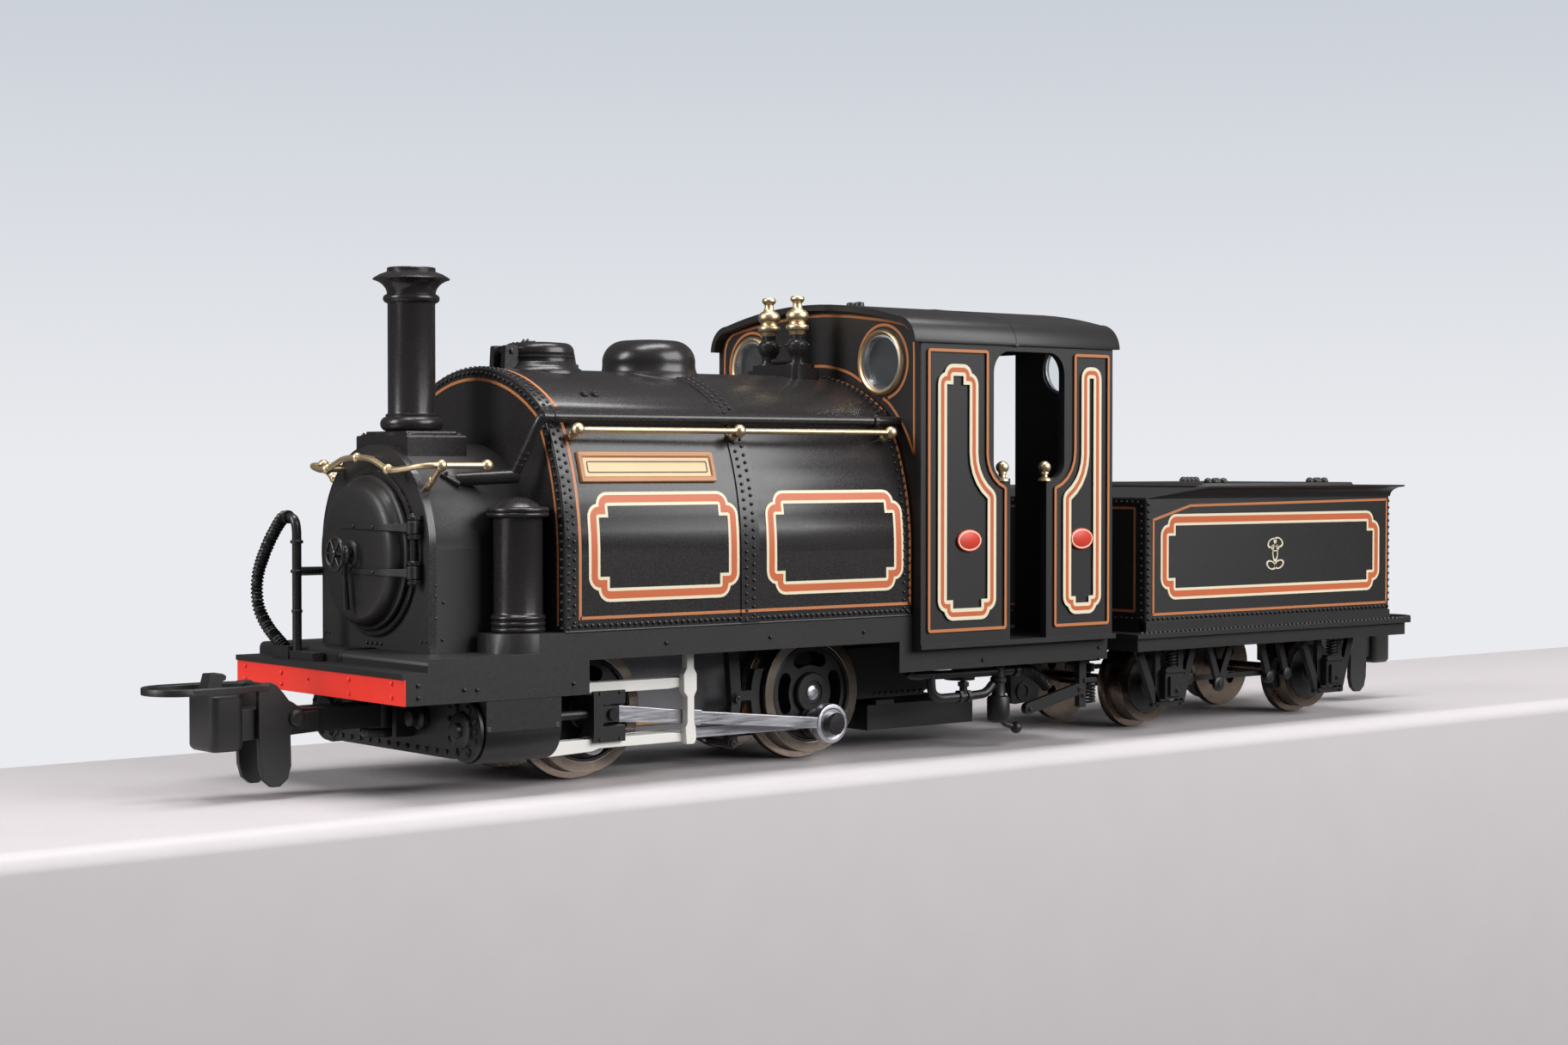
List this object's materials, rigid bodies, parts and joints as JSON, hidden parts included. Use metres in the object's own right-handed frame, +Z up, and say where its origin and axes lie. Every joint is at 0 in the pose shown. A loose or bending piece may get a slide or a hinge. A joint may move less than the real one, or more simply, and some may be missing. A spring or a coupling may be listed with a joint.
{
  "type": "model locomotive with tender",
  "caption": "Narrow-gauge saddle-tank model locomotive with four-wheeled tender, outside cylinders and rods, geared motor drive and hook-and-loop couplers.",
  "frame": {"origin": "middle of the train's box in plan, at the level of the lowest wheel flange", "axes": "+X forward towards the chimney, +Y to the left side, +Z up; rail top is at z = 0.5 mm"},
  "size_m": [0.1248, 0.0236, 0.0342],
  "materials": {
    "black_plastic": "semi-gloss black moulding with printed lining",
    "buffer_red": "satin red paint",
    "brass": "satin brass",
    "clear": "clear glazing",
    "rod_steel": "satin nickel silver",
    "tyre_steel": "bright turned tyre",
    "bar_white": "bright white-metal slide bars",
    "plate_brown": "blank plate with a cream field",
    "die_cast": "zinc casting",
    "black_metal": "blackened metal",
    "hose_black": "matt black ribbed hose",
    "gear_brass": "machined brass",
    "gear_nylon": "white acetal",
    "motor_steel": "plated steel can",
    "armature": "steel shaft with copper windings",
    "board_green": "green circuit board",
    "bronze": "phosphor bronze strip"
  },
  "bodies": {
    "engine": {"footplate": "black_plastic", "front_buffer_beam": "buffer_red", "saddle_tank": "black_plastic", "smokebox": "black_plastic", "chimney": "black_plastic", "tank_filler": "black_plastic", "dome": "black_plastic", "cab_shell": "black_plastic", "cab_roof": "black_plastic", "window_rings": "brass", "window_panes": "clear", "safety_valves": "brass", "tank_handrails": "brass", "smokebox_handrail": "brass", "tank_pipes": "black_metal", "front_pots": "black_plastic", "nameplates": "plate_brown", "vacuum_standpipe": "black_metal", "vacuum_hose": "hose_black", "chassis_block": "die_cast", "cylinders": "black_plastic", "slide_bars": "bar_white", "keeper_plate": "black_plastic", "brake_hangers": "black_plastic", "injector_pipes": "black_plastic", "motor_can": "motor_steel", "circuit_board": "board_green", "tank_weight": "die_cast", "wheel_wipers": "bronze", "fixing_screws": "rod_steel"},
    "smokebox_door": {"smokebox_door": "black_plastic"},
    "door_handwheel": {"door_handwheel": "black_metal"},
    "rear_driver": {"rear_axle": "rod_steel", "rear_wheel_centres": "black_plastic", "rear_tyres": "tyre_steel", "drive_gear": "gear_brass"},
    "front_driver": {"front_axle": "rod_steel", "front_wheel_centres": "black_plastic", "front_tyres": "tyre_steel"},
    "coupling_rod_left": {"coupling_rod_left": "rod_steel"},
    "coupling_rod_right": {"coupling_rod_right": "rod_steel"},
    "connecting_rod_left": {"connecting_rod_left": "rod_steel"},
    "connecting_rod_right": {"connecting_rod_right": "rod_steel"},
    "crosshead_left": {"crosshead_left": "black_metal"},
    "crosshead_right": {"crosshead_right": "black_metal"},
    "idler": {"idler_gear": "gear_nylon"},
    "armature": {"motor_shaft": "armature", "worm": "gear_brass"},
    "front_coupler": {"front_coupler": "black_plastic"},
    "front_loop": {"front_coupler_loop": "black_metal"},
    "drawbar": {"drawbar": "black_metal"},
    "tender": {"tender_body": "black_plastic", "tender_coal_plate": "black_plastic", "tender_footplate": "black_plastic", "tender_axleguards": "black_plastic", "tender_weight": "die_cast"},
    "tender_front_wheels": {"tender_front_wheelset": "tyre_steel"},
    "tender_rear_wheels": {"tender_rear_wheelset": "tyre_steel"},
    "rear_coupler": {"rear_coupler": "black_plastic"},
    "rear_loop": {"rear_coupler_loop": "black_metal"}
  },
  "joints": [
    {"name": "driver_spin", "type": "hinge", "parent": "engine", "child": "rear_driver", "pos_m": [0.01353, 0, 0.00483], "axis": [0, 1, 0], "continuous": true},
    {"name": "front_driver_spin", "type": "hinge", "parent": "engine", "child": "front_driver", "pos_m": [0.03327, 0, 0.00483], "axis": [0, 1, 0], "continuous": true},
    {"name": "coupling_rod_left_pin", "type": "hinge", "parent": "rear_driver", "child": "coupling_rod_left", "pos_m": [0.01353, 0.0065, 0.00275], "axis": [0, 1, 0], "continuous": true},
    {"name": "coupling_rod_right_pin", "type": "hinge", "parent": "rear_driver", "child": "coupling_rod_right", "pos_m": [0.01561, -0.0065, 0.00483], "axis": [0, 1, 0], "continuous": true},
    {"name": "crosshead_left_slide", "type": "slide", "parent": "engine", "child": "crosshead_left", "axis": [1, 0, 0], "range_m": [-0.00198, 0.00218]},
    {"name": "crosshead_right_slide", "type": "slide", "parent": "engine", "child": "crosshead_right", "axis": [1, 0, 0], "range_m": [-0.00416, 0]},
    {"name": "connecting_rod_left_swing", "type": "hinge", "parent": "crosshead_left", "child": "connecting_rod_left", "pos_m": [0.03318, 0.0078, 0.0047], "axis": [0, 1, 0], "range_deg": [0, 12.09]},
    {"name": "connecting_rod_right_swing", "type": "hinge", "parent": "crosshead_right", "child": "connecting_rod_right", "pos_m": [0.03535, -0.0078, 0.0047], "axis": [0, 1, 0], "range_deg": [-6.04, 6.05]},
    {"name": "idler_spin", "type": "hinge", "parent": "engine", "child": "idler", "pos_m": [0.01353, 0, 0.01088], "axis": [0, 1, 0], "continuous": true},
    {"name": "armature_spin", "type": "hinge", "parent": "engine", "child": "armature", "pos_m": [0.0234, 0, 0.01503], "axis": [1, 0, 0], "continuous": true},
    {"name": "smokebox_door_hinge", "type": "hinge", "parent": "engine", "child": "smokebox_door", "pos_m": [0.04665, 0.00575, 0.01575], "axis": [0, 0, 1], "range_deg": [0, 6]},
    {"name": "door_handwheel_spin", "type": "hinge", "parent": "smokebox_door", "child": "door_handwheel", "pos_m": [0.049, 0, 0.01545], "axis": [1, 0, 0], "continuous": true},
    {"name": "front_coupler_swing", "type": "hinge", "parent": "engine", "child": "front_coupler", "pos_m": [0.0459, 0, 0.00486], "axis": [0, 0, 1], "range_deg": [-10, 10]},
    {"name": "front_loop_lift", "type": "hinge", "parent": "front_coupler", "child": "front_loop", "pos_m": [0.0527, 0, 0.0051], "axis": [0, -1, 0], "range_deg": [0, 20]},
    {"name": "drawbar_swing", "type": "hinge", "parent": "engine", "child": "drawbar", "pos_m": [-0.0066, 0, 0.0055], "axis": [0, 0, 1], "range_deg": [-5, 5]},
    {"name": "tender_swing", "type": "hinge", "parent": "drawbar", "child": "tender", "pos_m": [-0.0201, 0, 0.0055], "axis": [0, 0, 1], "range_deg": [-5, 5]},
    {"name": "tender_front_spin", "type": "hinge", "parent": "tender", "child": "tender_front_wheels", "pos_m": [-0.0218, 0, 0.0035], "axis": [0, 1, 0], "continuous": true},
    {"name": "tender_rear_spin", "type": "hinge", "parent": "tender", "child": "tender_rear_wheels", "pos_m": [-0.0418, 0, 0.0035], "axis": [0, 1, 0], "continuous": true},
    {"name": "rear_coupler_swing", "type": "hinge", "parent": "tender", "child": "rear_coupler", "pos_m": [-0.0444, 0, 0.00486], "axis": [0, 0, 1], "range_deg": [-10, 10]},
    {"name": "rear_loop_lift", "type": "hinge", "parent": "rear_coupler", "child": "rear_loop", "pos_m": [-0.0527, 0, 0.0051], "axis": [0, 1, 0], "range_deg": [0, 20]}
  ],
  "couplings": [
    {"joint": "front_driver_spin", "follows": "driver_spin", "ratio": 1},
    {"joint": "coupling_rod_left_pin", "follows": "driver_spin", "ratio": -1},
    {"joint": "coupling_rod_right_pin", "follows": "driver_spin", "ratio": -1},
    {"joint": "idler_spin", "follows": "driver_spin", "ratio": -1},
    {"joint": "armature_spin", "follows": "driver_spin", "ratio": 20}
  ]
}
